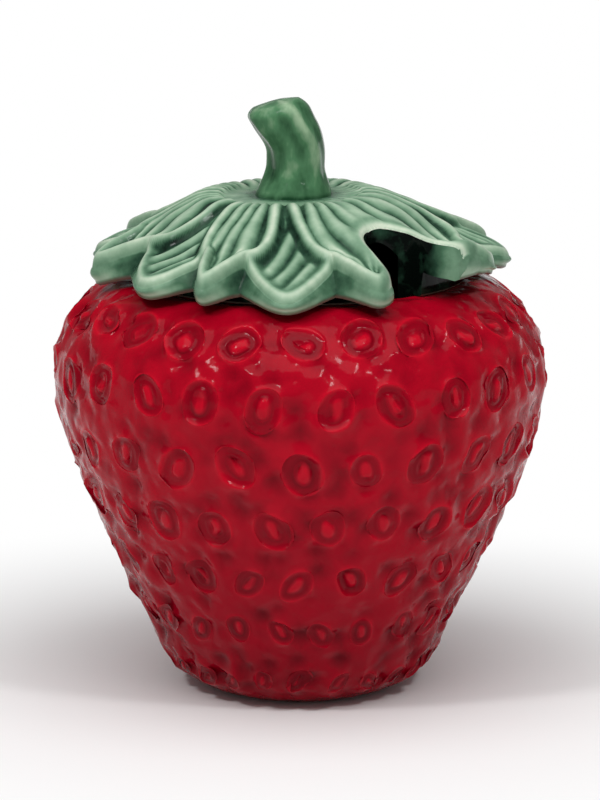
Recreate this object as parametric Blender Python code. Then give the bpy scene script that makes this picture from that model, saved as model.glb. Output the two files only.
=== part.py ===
# Strawberry tureen: a dimpled pot, a lid of leaves with a ladle notch, and a stem knob.
# Units are metres and +Z is up. The pot stands on z = 0 on the Z axis, and the notch faces -Y.

import math

import bmesh
import bpy
from mathutils import Vector
from mathutils.geometry import interpolate_bezier

# Pot body
FOOT_RADIUS = 0.036
FOOT_RING_WIDTH = 0.008
FOOT_RECESS = 0.002
HEEL_RADIUS = 0.058
HEEL_HEIGHT = 0.0135
BELLY_RADIUS = 0.1046
BELLY_HEIGHT = 0.139
POT_HEIGHT = 0.1765
MOUTH_RADIUS = 0.064
RIM_WIDTH = 0.011
POT_WALL = 0.0075
RIM_EDGE = 0.0012
INSIDE_RINGS = 9

# Directions of the pot's outline, up from the horizontal
FOOT_ANGLE = math.radians(9.0)
HEEL_ANGLE = math.radians(66.0)
RIM_ANGLE = math.radians(11.0)

# Fullness of the outline's curves, as shares of the chord they span
HEEL_EASE = (0.36, 0.23)
FLANK_EASE = (0.37, 0.27)
SHOULDER_EASE = (0.34, 0.33)
OUTLINE_POINTS = (10, 28, 20)

# Seeds, each a raised oval in an oval pit
SEED_ROWS = 7
SEEDS_PER_ROW = 24
SEED_FOOT_MARGIN = 0.0125
SEED_RIM_MARGIN = 0.0075
SEED_WIDTH = 0.0056
SEED_LENGTH = 0.0086
PIT_WIDTH = 0.0096
PIT_LENGTH = 0.0126
LIP_WIDTH = 0.0160
LIP_LENGTH = 0.0190
LIP_SHARE = 0.86
PIT_DEPTH = 0.0018
SEED_DROP = 0.0003
LIP_RISE = 0.0008
FLESH_RISE = 0.0004
SEED_STRAY = 0.0022
SEED_SIZE_STRAY = 0.1
CELL_ZIGZAG = 1 / 6
CELL_INSET = 0.0005
ROW_PHASE = math.radians(-5.5)

# Lid
SEAT_GAP = 0.0003
COLLAR_CLEARANCE = 0.0007
COLLAR_DEPTH = 0.0085
COLLAR_WALL = 0.0055
SEAT_INSET = 0.0045
LID_RISE = 0.0350
LID_WALL = 0.0050
CROWN_RADIUS = 0.028
DOME_FULLNESS = 1.4
CROWN_SHIFT = 0.0025
LEAF_OVERHANG = 0.0137
CLEFT_INSET = 0.005
SKIRT_OVERHANG = 0.002
TIP_TOP = 0.0092
TIP_CLEARANCE = 0.0074
CLEFT_CLEARANCE = 0.0057
SKIRT_HOLLOW = 0.0070
EDGE_ROUND = 0.0022
LID_STEPS = 128
TOP_RINGS = 8
RING_CROWDING = 1.4
VAULT_SHARES = (0.9, 0.7, 0.4)

# Leaves on the lid, in an upper and a lower layer
LEAVES = 8
LEAF_PHASE = math.radians(-16.8)
LEAF_DRIFT = math.radians(7.0)
DRIFT_HEADING = math.radians(140.5)
STRAY_SPAN = math.radians(31.0)
STRAYS = ((math.radians(-172.0), math.radians(-6.8)), (math.radians(-62.0), math.radians(7.2)))
UPPER_NARROWING = math.radians(7.0)
CLEFT_SWEEP = math.radians(6.5)
LEAF_SHOULDER = 0.45
CLEFT_SHARPNESS = 8
LAYER_STEP = 0.0022
RIB_HEIGHT = 0.0011
RIB_ROUNDNESS = 0.6
LEAF_CUP = 0.8
LOWER_DROP = 0.4
LEAF_LEAN = 0.0012
LEAF_WARP = 0.0011
LEAN_HEADING = math.radians(-125.5)

# Ladle notch
NOTCH_HEADING = math.radians(-90.0)
NOTCH_WIDTH = 0.023
NOTCH_INNER_RADIUS = 0.053
NOTCH_SEGMENTS = 8
NOTCH_FLARE_END = 0.093
NOTCH_FLARE_ANGLE = math.radians(39.0)

# Where each side of the notch starts to curve away, how far it spreads, and the fullness of its curve
PLAIN_FLARE = (0.077, 0.009, 0.006, 0.009)
RAISED_FLARE = (0.071, 0.0135, 0.008, 0.0135)

# Broad leaf to one side of the notch
NOTCH_LEAF_SPAN = math.radians(36.0)
NOTCH_LEAF_FADE = math.radians(8.0)
NOTCH_LEAF_REACH = 0.9

# Leaf beside the notch that turns up
RAISED_LEAF_LIFT = 0.0130
RAISED_HEM_LIFT = 0.0065
RAISED_FROM_RADIUS = 0.058
RAISED_CURVE = 1.3
RAISED_FULL_SPAN = math.radians(8.0)
RAISED_LEAF_SPAN = math.radians(47.0)

# Stem knob
STEM_HEIGHT = 0.0413
STEM_FOOT_RADIUS = 0.0163
STEM_WAIST_RADIUS = 0.0121
STEM_TOP_RADIUS = 0.0132
STEM_OFFSET = 0.0028
STEM_SWAY = 0.0018
STEM_BEND = 0.0062
STEM_TOP_TILT = math.radians(13.0)
STEM_END_SHARE = 0.13
STEM_END_DRAW = 0.24
STEM_END_CROWN = 0.0008
STEM_HEADING = math.radians(144.5)
STEM_FLUTES = 5
STEM_FLUTE_DEPTH = 0.0007
STEM_SIDES = 20
STEM_RINGS = 11

# Where the stem's shapes begin and end, as shares of its height
STEM_FLARE = (-0.05, 0.33)
STEM_SWELL = (0.48, 0.75)
STEM_LEAN = (0.45, 1.05)
STEM_FLUTING = (0.0, 0.3)
STEM_SWAY_LENGTH = 0.8

RIM_RADIUS = MOUTH_RADIUS + RIM_WIDTH
TIP_RADIUS = RIM_RADIUS + LEAF_OVERHANG
CLEFT_RADIUS = RIM_RADIUS - CLEFT_INSET
SKIRT_RADIUS = RIM_RADIUS + SKIRT_OVERHANG
SEAT_RADIUS = RIM_RADIUS - SEAT_INSET
COLLAR_RADIUS = MOUTH_RADIUS - COLLAR_CLEARANCE
HALF_LEAF = math.pi / LEAVES
WELD = 0.00001

# Rings of the lid's profile that follow the leaves, counted out from the crown
EDGE_RING = TOP_RINGS + 1
SKIRT_RING = TOP_RINGS + 2
HEM_RING = TOP_RINGS + 3
INNER_HEM_RING = TOP_RINGS + 4
HOLLOW_RING = TOP_RINGS + 5


def clear_scene():
    for item in list(bpy.data.objects):
        bpy.data.objects.remove(item, do_unlink=True)


def make_collection(name):
    group = bpy.data.collections.new(name)
    bpy.context.scene.collection.children.link(group)
    return group


def make_material(name, colour, roughness):
    material = bpy.data.materials.new(name)
    material.use_nodes = True
    shader = material.node_tree.nodes["Principled BSDF"]
    shader.inputs["Base Color"].default_value = (*colour, 1.0)
    shader.inputs["Roughness"].default_value = roughness
    shader.inputs["Metallic"].default_value = 0.0
    material.diffuse_color = (*colour, 1.0)
    return material


def add_object(name, bm, group, material=None, smooth_angle=math.radians(40.0)):
    bmesh.ops.recalc_face_normals(bm, faces=bm.faces)
    mesh = bpy.data.meshes.new(name)
    bm.to_mesh(mesh)
    bm.free()
    mesh.shade_smooth()
    mesh.set_sharp_from_angle(angle=smooth_angle)
    item = bpy.data.objects.new(name, mesh)
    group.objects.link(item)
    if material:
        mesh.materials.append(material)
    return item


def spin_profile(points, steps, tags=None):
    # Turn a profile of (radius, height) points round Z. Each point's tag stays on its whole ring.
    bm = bmesh.new()
    ring = bm.verts.layers.int.new("ring")
    verts = [bm.verts.new((radius, 0.0, height)) for radius, height in points]
    for index, vert in enumerate(verts):
        vert[ring] = tags[index] if tags else 0
    edges = [bm.edges.new(pair) for pair in zip(verts, verts[1:])]
    bmesh.ops.spin(
        bm,
        geom=verts + edges,
        axis=(0.0, 0.0, 1.0),
        cent=(0.0, 0.0, 0.0),
        angle=2 * math.pi,
        steps=steps,
        use_merge=True,
    )
    bmesh.ops.remove_doubles(bm, verts=bm.verts, dist=WELD)
    return bm


def ease(value):
    # Smooth step from 0 to 1.
    value = min(max(value, 0.0), 1.0)
    return value * value * (3.0 - 2.0 * value)


def scatter(row, column, salt):
    # Repeatable irregularity from -1 to 1 for one place in a pattern.
    value = math.sin(row * 12.9898 + column * 78.233 + salt * 37.719) * 43758.5453
    return 2.0 * (value - math.floor(value)) - 1.0


def turn_gap(angle, target):
    # Signed angle from target to angle, from -pi to pi.
    return (angle - target + math.pi) % (2 * math.pi) - math.pi


def heading(angle):
    return Vector((math.cos(angle), math.sin(angle)))


# Pot


def pot_outline():
    # Outer skin without its seeds, from the edge of the foot up to the edge of the rim.
    foot = Vector((FOOT_RADIUS, 0.0))
    heel = Vector((HEEL_RADIUS, HEEL_HEIGHT))
    belly = Vector((BELLY_RADIUS, BELLY_HEIGHT))
    rim = Vector((RIM_RADIUS, POT_HEIGHT))
    upright = math.pi / 2
    legs = (
        (foot, FOOT_ANGLE, heel, HEEL_ANGLE, HEEL_EASE, OUTLINE_POINTS[0]),
        (heel, HEEL_ANGLE, belly, upright, FLANK_EASE, OUTLINE_POINTS[1]),
        (belly, upright, rim, math.pi - RIM_ANGLE, SHOULDER_EASE, OUTLINE_POINTS[2]),
    )
    points = [foot]
    for start, angle_out, end, angle_in, shares, count in legs:
        chord = (end - start).length
        handle_out = start + heading(angle_out) * chord * shares[0]
        handle_in = end - heading(angle_in) * chord * shares[1]
        points += interpolate_bezier(start, handle_out, handle_in, end, count)[1:]
    return [Vector(point[:2]) for point in points]


class Skin:
    # The outline measured along its length, so that rows of seeds can be spaced on the surface.
    def __init__(self, points):
        self.points = points
        self.arcs = [0.0]
        for a, b in zip(points, points[1:]):
            self.arcs.append(self.arcs[-1] + (b - a).length)

    def leg(self, arc):
        for index in range(len(self.arcs) - 2):
            if arc < self.arcs[index + 1]:
                return index
        return len(self.arcs) - 2

    def point(self, arc):
        index = self.leg(arc)
        a, b = self.points[index : index + 2]
        share = (arc - self.arcs[index]) / (self.arcs[index + 1] - self.arcs[index])
        return a.lerp(b, min(max(share, 0.0), 1.0))

    def normal(self, arc):
        step = self.arcs[-1] / 200
        along = self.point(min(arc + step, self.arcs[-1])) - self.point(max(arc - step, 0.0))
        return Vector((along.y, -along.x)).normalized()

    def shoulder_height(self, radius):
        # Height of the skin above the belly where it narrows to a radius.
        for a, b in zip(self.points, self.points[1:]):
            if a.y >= BELLY_HEIGHT and b.x <= radius <= a.x:
                return a.y + (b.y - a.y) * (a.x - radius) / (a.x - b.x)
        return POT_HEIGHT

    def arc_at_height(self, height):
        for index, (a, b) in enumerate(zip(self.points, self.points[1:])):
            if b.y >= height:
                return self.arcs[index] + (height - a.y) / (b.y - a.y) * (b - a).length
        return self.arcs[-1]

    def place(self, angle, arc, lift):
        point = self.point(arc) + self.normal(arc) * lift
        return Vector((point.x * math.cos(angle), point.x * math.sin(angle), point.y))


def inner_wall(skin):
    # Inside of the pot, from the lower edge of the mouth down to the middle of the floor.
    floor = FOOT_RECESS + POT_WALL
    points = [(MOUTH_RADIUS, POT_HEIGHT - RIM_EDGE), (MOUTH_RADIUS, POT_HEIGHT - POT_WALL)]
    start = skin.arcs[-1] - POT_WALL
    end = skin.arc_at_height(HEEL_HEIGHT / 3)
    for index in range(INSIDE_RINGS):
        arc = start + (end - start) * index / (INSIDE_RINGS - 1)
        point = skin.point(arc) - skin.normal(arc) * POT_WALL
        points.append((point.x, max(point.y, floor)))
    return points + [(0.0, floor)]


def build_pot(group, material, skin):
    pitch = (skin.arcs[-1] - SEED_FOOT_MARGIN - SEED_RIM_MARGIN) / SEED_ROWS
    lines = [SEED_FOOT_MARGIN + pitch * index for index in range(SEED_ROWS + 1)]
    ring_inner = FOOT_RADIUS - FOOT_RING_WIDTH

    points = [
        (0.0, FOOT_RECESS),
        (ring_inner - FOOT_RECESS, FOOT_RECESS),
        (ring_inner, 0.0),
        (FOOT_RADIUS, 0.0),
    ]
    tags = [0] * len(points)
    for index, arc in enumerate(lines):
        points.append(tuple(skin.point(arc)))
        tags.append(index + 1)
    rim_edge = [(RIM_RADIUS, POT_HEIGHT), (MOUTH_RADIUS + RIM_EDGE, POT_HEIGHT)]
    inside = inner_wall(skin)
    points += rim_edge + inside
    tags += [0] * (len(rim_edge) + len(inside))

    columns = 2 * SEEDS_PER_ROW
    bm = spin_profile(points, columns, tags)
    ring = bm.verts.layers.int["ring"]
    column_angle = 2 * math.pi / columns

    def column_of(vert):
        return round(math.atan2(vert.co.y, vert.co.x) / column_angle) % columns

    # Drop every other upright of each row, staggered, which leaves a brick course of six-sided cells.
    uprights = []
    for edge in bm.edges:
        rows = sorted(vert[ring] for vert in edge.verts)
        if rows[0] > 0 and rows[1] == rows[0] + 1 and (column_of(edge.verts[0]) + rows[0]) % 2:
            uprights.append(edge)
    bmesh.ops.dissolve_edges(bm, edges=uprights)
    cells = [face for face in bm.faces if len(face.verts) == 6 and all(vert[ring] for vert in face.verts)]

    # Bend the courses into a zigzag, which turns the bricks into a honeycomb.
    cell_places = {}
    for face in cells:
        middle = face.calc_center_median()
        row = min(vert[ring] for vert in face.verts) - 1
        cell_places[face] = (row, math.atan2(middle.y, middle.x))
    for vert in list(bm.verts):
        line = vert[ring] - 1
        if line < 0:
            continue
        column = column_of(vert)
        end_line = line in (0, SEED_ROWS)
        side = 1 if (column + line) % 2 else -1
        zigzag = side * pitch * CELL_ZIGZAG
        arc = lines[line] + (zigzag / 2 if end_line else zigzag)
        lift = 0.0 if end_line else FLESH_RISE * (1.0 + scatter(line, column, 1))
        vert.co = skin.place(column * column_angle + ROW_PHASE, arc, lift)

    # Sink a pit in each cell and raise a seed in it, each an inset drawn to an oval.
    rings = (
        (LIP_WIDTH, LIP_LENGTH, LIP_RISE),
        (PIT_WIDTH, PIT_LENGTH, -PIT_DEPTH),
        (SEED_WIDTH, SEED_LENGTH, -SEED_DROP),
    )
    for width, length, lift in rings:
        bmesh.ops.inset_individual(bm, faces=cells, thickness=CELL_INSET)
        for face in cells:
            row, angle = cell_places[face]
            column = round(angle / column_angle)
            arc = lines[row] + pitch / 2 + SEED_STRAY * scatter(row, column, 2)
            radius = skin.point(arc).x
            turn = angle + ROW_PHASE + SEED_STRAY * scatter(row, column, 3) / radius
            room = min(1.0, LIP_SHARE * 2 * math.pi * radius / SEEDS_PER_ROW / LIP_WIDTH)
            size = room * (1.0 + SEED_SIZE_STRAY * scatter(row, column, 4))
            for vert in face.verts:
                side = turn_gap(math.atan2(vert.co.y, vert.co.x), turn) * radius
                corner = math.atan2(vert.co.z - skin.point(arc).y, side)
                across = 0.5 * width * size * math.cos(corner)
                along = 0.5 * length * size * math.sin(corner)
                vert.co = skin.place(turn + across / radius, arc + along, lift * size)
    return add_object("pot", bm, group, material)


# Lid, in heights above the pot's rim


def upper_offset(angle):
    # Angle from the middle of the nearest upper leaf. The leaves spread apart on one side, and two stray.
    place = angle + LEAF_DRIFT * math.cos(angle - DRIFT_HEADING)
    for target, stray in STRAYS:
        place += stray * ease(1.0 - abs(turn_gap(angle, target)) / STRAY_SPAN)
    return turn_gap(place, LEAF_PHASE + 2 * HALF_LEAF * round((place - LEAF_PHASE) / (2 * HALF_LEAF)))


def notch_leaf(angle):
    # 1 on the broad leaf to one side of the notch and 0 on the others.
    gap = turn_gap(angle, NOTCH_HEADING)
    return ease((NOTCH_LEAF_SPAN - gap) / NOTCH_LEAF_FADE) if gap > 0.0 else 0.0


def upper_half_width(angle, radius):
    # Half the angle that an upper leaf covers at a radius: broad, then drawn in to the cleft.
    share = min(max((radius - CROWN_RADIUS) / (CLEFT_RADIUS - CROWN_RADIUS), 0.0), 1.0)
    drawn_in = UPPER_NARROWING * ease(share / LEAF_SHOULDER) + CLEFT_SWEEP * share**CLEFT_SHARPNESS
    return HALF_LEAF - drawn_in * (1.0 - notch_leaf(angle))


def leaf_reach(angle):
    # How far out the leaf edge lies at an angle: 0 in a cleft, 1 at a tip.
    offset = abs(upper_offset(angle))
    upper = upper_half_width(angle, CLEFT_RADIUS)
    share = offset / upper if offset < upper else (HALF_LEAF - offset) / (HALF_LEAF - upper)
    reach = 0.5 + 0.5 * math.cos(math.pi * share)
    return max(reach, NOTCH_LEAF_REACH * notch_leaf(angle))


def turned_up(angle, radius):
    # The leaf to one side of the notch turns up, most at the notch and at its edge.
    gap = turn_gap(angle, NOTCH_HEADING)
    out = (radius - RAISED_FROM_RADIUS) / (TIP_RADIUS - RAISED_FROM_RADIUS)
    if gap < 0.0 or out < 0.0:
        return 0.0
    near = ease((RAISED_LEAF_SPAN - gap) / (RAISED_LEAF_SPAN - RAISED_FULL_SPAN))
    return RAISED_LEAF_LIFT * near * out**RAISED_CURVE


def droop(angle, radius):
    # The leaves hang lower in front and behind than at the sides.
    side = angle - LEAN_HEADING
    return (LEAF_LEAN * math.cos(side) + LEAF_WARP * math.cos(2 * side)) * (radius / TIP_RADIUS) ** 2


def lean(angle, radius):
    return turned_up(angle, radius) - droop(angle, radius)


def dome(radius):
    share = max((radius - CROWN_RADIUS) / (TIP_RADIUS - CROWN_RADIUS), 0.0)
    return LID_RISE - (LID_RISE - TIP_TOP) * share**DOME_FULLNESS


def leaf_relief(angle, radius):
    # Height of the leaves' ribs and of the step from the upper layer down to the lower one.
    offset = upper_offset(angle)
    half = upper_half_width(angle, radius)
    out = ease((radius - CROWN_RADIUS) / (CLEFT_RADIUS - CROWN_RADIUS) / LEAF_SHOULDER)
    ribs = ease((radius - CROWN_RADIUS) / EDGE_ROUND)
    if abs(offset) < half:
        across = offset / half
        step = LAYER_STEP * out * (1.0 - LEAF_CUP * (1.0 - across * across))
        return step + RIB_HEIGHT * ribs * abs(math.sin(2 * math.pi * across)) ** RIB_ROUNDNESS
    across = (HALF_LEAF - abs(offset)) / (HALF_LEAF - half)
    return RIB_HEIGHT * ribs * abs(math.cos(1.5 * math.pi * across)) - LOWER_DROP * LAYER_STEP * out


def lid_point(tag, angle, skin):
    # Radius and height of one ring of the lid at an angle, for the rings that follow the leaves.
    reach = leaf_reach(angle)
    edge = CLEFT_RADIUS + (TIP_RADIUS - CLEFT_RADIUS) * reach
    if tag <= TOP_RINGS:
        share = ((tag - 1) / (TOP_RINGS - 1)) ** RING_CROWDING
        radius = CROWN_RADIUS + (edge - EDGE_ROUND - CROWN_RADIUS) * share
        return radius, dome(radius) + leaf_relief(angle, radius) + lean(angle, radius)
    top = dome(edge) + lean(angle, edge) - EDGE_ROUND
    if tag == EDGE_RING:
        return edge, top
    skirt = SKIRT_RADIUS + (TIP_RADIUS - EDGE_ROUND / 2 - SKIRT_RADIUS) * reach
    clearance = CLEFT_CLEARANCE + (TIP_CLEARANCE - CLEFT_CLEARANCE) * reach
    raised = min(turned_up(angle, skirt), RAISED_HEM_LIFT)
    hem = skin.shoulder_height(skirt) - POT_HEIGHT + clearance + raised - droop(angle, skirt)
    if tag == SKIRT_RING:
        return skirt, hem + EDGE_ROUND
    if tag == HEM_RING:
        return skirt - EDGE_ROUND / 2, hem
    inner_hem = skirt - 2 * EDGE_ROUND
    if tag == INNER_HEM_RING:
        return inner_hem, hem + EDGE_ROUND / 2
    return (inner_hem + SEAT_RADIUS) / 2, SKIRT_HOLLOW + lean(angle, SEAT_RADIUS)


def crown_shift(radius):
    # The crown sits off the pot's axis, towards the way the stem bends, and the edge doesn't.
    return CROWN_SHIFT * (1.0 - ease((radius - CROWN_RADIUS) / (CLEFT_RADIUS - CROWN_RADIUS)))


def lid_underside():
    # Seat on the rim, collar in the mouth and the hollow under the crown, from the outside inwards.
    inside = COLLAR_RADIUS - COLLAR_WALL
    points = [
        (SEAT_RADIUS, (SKIRT_HOLLOW + SEAT_GAP) / 2),
        (SEAT_RADIUS, SEAT_GAP),
        (COLLAR_RADIUS, SEAT_GAP),
        (COLLAR_RADIUS, -COLLAR_DEPTH),
        (inside, -COLLAR_DEPTH),
        (inside, dome(inside) - 2 * LID_WALL),
    ]
    for share in VAULT_SHARES:
        points.append((inside * share, dome(inside * share) - LID_WALL))
    return points + [(0.0, LID_RISE - LID_WALL)]


def build_lid(group, cutters, material, skin):
    points = [(0.0, LID_RISE), ((STEM_FOOT_RADIUS + CROWN_RADIUS) / 2, LID_RISE)]
    tags = [0, 0]
    for tag in range(1, HOLLOW_RING + 1):
        points.append(lid_point(tag, LEAF_PHASE, skin))
        tags.append(tag)
    under = lid_underside()
    points += under
    tags += [0] * len(under)

    bm = spin_profile(points, LID_STEPS, tags)
    ring = bm.verts.layers.int["ring"]
    for vert in bm.verts:
        if vert[ring]:
            angle = math.atan2(vert.co.y, vert.co.x)
            radius, height = lid_point(vert[ring], angle, skin)
            place = radius * heading(angle) + crown_shift(radius) * heading(STEM_HEADING)
            vert.co = (place.x, place.y, height)
    lid = add_object("lid", bm, group, material)

    cut = lid.modifiers.new("ladle notch", "BOOLEAN")
    cut.operation = "DIFFERENCE"
    cut.solver = "EXACT"
    cut.object = build_notch_cutter(cutters)
    return lid, cut.object


def notch_flare(start_radius, spread, ease_out, ease_in):
    # One side of the notch past its parallel part, curving away to the lid's edge.
    start = Vector((NOTCH_WIDTH / 2, -start_radius))
    end = Vector((NOTCH_WIDTH / 2 + spread, -NOTCH_FLARE_END))
    handle_out = start + ease_out * heading(NOTCH_HEADING)
    handle_in = end - ease_in * heading(-NOTCH_FLARE_ANGLE)
    curve = interpolate_bezier(start, handle_out, handle_in, end, NOTCH_SEGMENTS)
    return [Vector(point[:2]) for point in curve]


def notch_outline():
    # Half-round inner end between two sides, of which one curves away along the turned-up leaf.
    half = NOTCH_WIDTH / 2
    outer = -TIP_RADIUS - LEAF_OVERHANG
    middle = Vector((0.0, -NOTCH_INNER_RADIUS - half))
    left = [Vector((-point.x, point.y)) for point in notch_flare(*PLAIN_FLARE)]
    right = notch_flare(*RAISED_FLARE)
    end = [middle + half * heading(math.pi * index / NOTCH_SEGMENTS) for index in range(NOTCH_SEGMENTS + 1)]
    return [Vector((left[-1].x, outer))] + left[::-1] + end[::-1] + right + [Vector((right[-1].x, outer))]


def build_notch_cutter(cutters):
    # The notch's outline, drawn up through the whole lid.
    low = -COLLAR_DEPTH - EDGE_ROUND
    high = LID_RISE + EDGE_ROUND
    bm = bmesh.new()
    verts = [bm.verts.new((point.x, point.y, low)) for point in notch_outline()]
    edges = [bm.edges.new(pair) for pair in zip(verts, verts[1:] + verts[:1])]
    floor = bmesh.ops.contextual_create(bm, geom=edges)["faces"]
    grown = bmesh.ops.extrude_face_region(bm, geom=floor, use_keep_orig=True)["geom"]
    upper = [item for item in grown if isinstance(item, bmesh.types.BMVert)]
    bmesh.ops.translate(bm, vec=(0.0, 0.0, high - low), verts=upper)
    cutter = add_object("notch_cutter", bm, cutters)
    cutter.hide_render = True
    cutter.display_type = "WIRE"
    return cutter


# Stem


def grow(share, span):
    # Smooth step over a span of the stem's height.
    return ease((share - span[0]) / (span[1] - span[0]))


def stem_radius(share):
    # Flared foot, slim waist, a slightly fuller top and a rounded end.
    foot = (STEM_FOOT_RADIUS - STEM_WAIST_RADIUS) * (1.0 - grow(share, STEM_FLARE))
    top = (STEM_TOP_RADIUS - STEM_WAIST_RADIUS) * grow(share, STEM_SWELL)
    end = max((share - 1.0 + STEM_END_SHARE) / STEM_END_SHARE, 0.0)
    return (STEM_WAIST_RADIUS + foot + top) * (1.0 - STEM_END_DRAW * end * end)


def build_stem(group, material):
    bm = bmesh.new()
    bmesh.ops.create_cone(bm, cap_ends=True, segments=STEM_SIDES, radius1=1.0, radius2=1.0, depth=1.0)
    uprights = [edge for edge in bm.edges if abs(edge.verts[0].co.z - edge.verts[1].co.z) > 0.5]
    bmesh.ops.subdivide_edges(bm, edges=uprights, cuts=STEM_RINGS)
    end = [face for face in bm.faces if face.normal.z > 0.9]
    bmesh.ops.inset_region(bm, faces=end, thickness=STEM_END_DRAW)
    crown = set(end[0].verts)
    rise = STEM_HEIGHT - STEM_TOP_RADIUS * math.sin(STEM_TOP_TILT)
    for vert in bm.verts:
        share = vert.co.z + 0.5
        angle = math.atan2(vert.co.y, vert.co.x)
        flute = STEM_FLUTE_DEPTH * math.cos(STEM_FLUTES * angle) * grow(share, STEM_FLUTING)
        radius = (stem_radius(share) + flute) * vert.co.xy.length
        sway = STEM_SWAY * math.sin(math.pi * share / STEM_SWAY_LENGTH)
        bend = STEM_OFFSET - sway + STEM_BEND * grow(share, STEM_LEAN)
        tilt = STEM_TOP_TILT * share**3
        height = rise * share + (STEM_END_CROWN if vert in crown else 0.0)
        along = radius * math.cos(angle) * math.cos(tilt) + bend
        across = radius * math.sin(angle)
        vert.co = (
            along * math.cos(STEM_HEADING) - across * math.sin(STEM_HEADING),
            along * math.sin(STEM_HEADING) + across * math.cos(STEM_HEADING),
            height - radius * math.cos(angle) * math.sin(tilt),
        )
    return add_object("stem", bm, group, material)


def main():
    clear_scene()
    group = make_collection("strawberry_tureen")
    cutters = make_collection("cutters")
    red_glaze = make_material("red glaze", (0.32, 0.001, 0.008), 0.12)
    leaf_glaze = make_material("leaf green glaze", (0.25, 0.42, 0.30), 0.18)
    stem_glaze = make_material("stem green glaze", (0.10, 0.23, 0.12), 0.18)

    skin = Skin(pot_outline())
    build_pot(group, red_glaze, skin)
    lid, cutter = build_lid(group, cutters, leaf_glaze, skin)
    stem = build_stem(group, stem_glaze)

    # The lid lifts along Z from the rim, and the stem is luted to its crown.
    seat = bpy.data.objects.new("lid_seat", None)
    seat.location = (0.0, 0.0, POT_HEIGHT)
    group.objects.link(seat)
    for item in (lid, stem, cutter):
        item.parent = seat
    stem.location = (0.0, 0.0, LID_RISE + SEAT_GAP)


main()
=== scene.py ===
import math

import bmesh
import bpy
import numpy as np
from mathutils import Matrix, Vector, kdtree, noise
from mathutils.geometry import interpolate_bezier


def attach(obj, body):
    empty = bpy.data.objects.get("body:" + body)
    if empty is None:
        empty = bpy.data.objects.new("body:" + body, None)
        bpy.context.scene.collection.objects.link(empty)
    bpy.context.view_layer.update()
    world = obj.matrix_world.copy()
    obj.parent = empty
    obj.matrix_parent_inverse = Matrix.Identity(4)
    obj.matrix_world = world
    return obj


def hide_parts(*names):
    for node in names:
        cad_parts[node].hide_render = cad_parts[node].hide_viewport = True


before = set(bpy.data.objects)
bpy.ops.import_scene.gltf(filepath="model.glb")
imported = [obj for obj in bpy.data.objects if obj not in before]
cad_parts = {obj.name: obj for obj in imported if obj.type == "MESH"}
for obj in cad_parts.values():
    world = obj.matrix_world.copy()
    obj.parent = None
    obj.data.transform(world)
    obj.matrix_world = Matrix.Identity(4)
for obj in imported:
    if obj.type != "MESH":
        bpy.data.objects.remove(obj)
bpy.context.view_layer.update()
mm = 0.001
print("frame loaded")


# small helpers


def ease(value):
    value = np.clip(value, 0.0, 1.0)
    return value * value * (3.0 - 2.0 * value)


def wrapAngle(angle):
    return (angle + math.pi) % (2.0 * math.pi) - math.pi


def hashOf(a, b, salt):  # repeatable irregularity from -1 to 1
    value = math.sin(a * 12.9898 + b * 78.233 + salt * 37.719) * 43758.5453
    return 2.0 * (value - math.floor(value)) - 1.0


def linearColour(hexText):  # sRGB hex to linear RGBA
    parts = [int(hexText[i : i + 2], 16) / 255.0 for i in (1, 3, 5)]
    return [c / 12.92 if c <= 0.04045 else ((c + 0.055) / 1.055) ** 2.4 for c in parts] + [1.0]


def addNode(tree, kind, inputs=None, **settings):
    node = tree.nodes.new(kind)
    for name, value in settings.items():
        setattr(node, name, value)
    for key, value in (inputs or {}).items():
        if isinstance(value, bpy.types.NodeSocket):
            tree.links.new(value, node.inputs[key])
        else:
            node.inputs[key].default_value = value
    return node


def newObject(name, bm):
    mesh = bpy.data.meshes.new(name)
    bm.to_mesh(mesh)
    bm.free()
    obj = bpy.data.objects.new(name, mesh)
    bpy.context.scene.collection.objects.link(obj)
    return obj


def applyModifiers(obj):  # bake the modifier stack into the mesh
    bpy.context.view_layer.update()
    evaluated = obj.evaluated_get(bpy.context.evaluated_depsgraph_get())
    baked = bpy.data.meshes.new_from_object(evaluated)
    obj.modifiers.clear()
    old = obj.data
    obj.data = baked
    bpy.data.meshes.remove(old)
    baked.name = obj.name


def getCoords(mesh):
    flat = np.empty(len(mesh.vertices) * 3)
    mesh.vertices.foreach_get("co", flat)
    return flat.reshape(-1, 3)


def setCoords(mesh, coords):
    mesh.vertices.foreach_set("co", coords.ravel())
    mesh.update()


def getLayer(mesh, name, kind=float):
    values = np.empty(len(mesh.vertices), dtype=kind)
    mesh.attributes[name].data.foreach_get("value", values)
    return values


def setLayer(mesh, name, values):
    layer = mesh.attributes.get(name) or mesh.attributes.new(name, "FLOAT", "POINT")
    layer.data.foreach_set("value", np.ascontiguousarray(values, dtype=np.float32))


def getNormals(mesh):
    flat = np.empty(len(mesh.vertices) * 3)
    mesh.vertex_normals.foreach_get("vector", flat)
    return flat.reshape(-1, 3)


def fieldNoise(coords, size, seed):  # smooth noise with features of a given size
    offset = Vector((seed * 3.7, seed * 1.3, seed * 5.1))
    return np.array([noise.noise(Vector(p) / size + offset) for p in coords])


def fieldCells(coords, size):  # 1 in the middle of a cell of a given size, 0 on the ridges between cells
    near = np.array([noise.voronoi(Vector(p) / size)[0][0] for p in coords])
    return ease(1.0 - near / 0.62)


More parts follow.
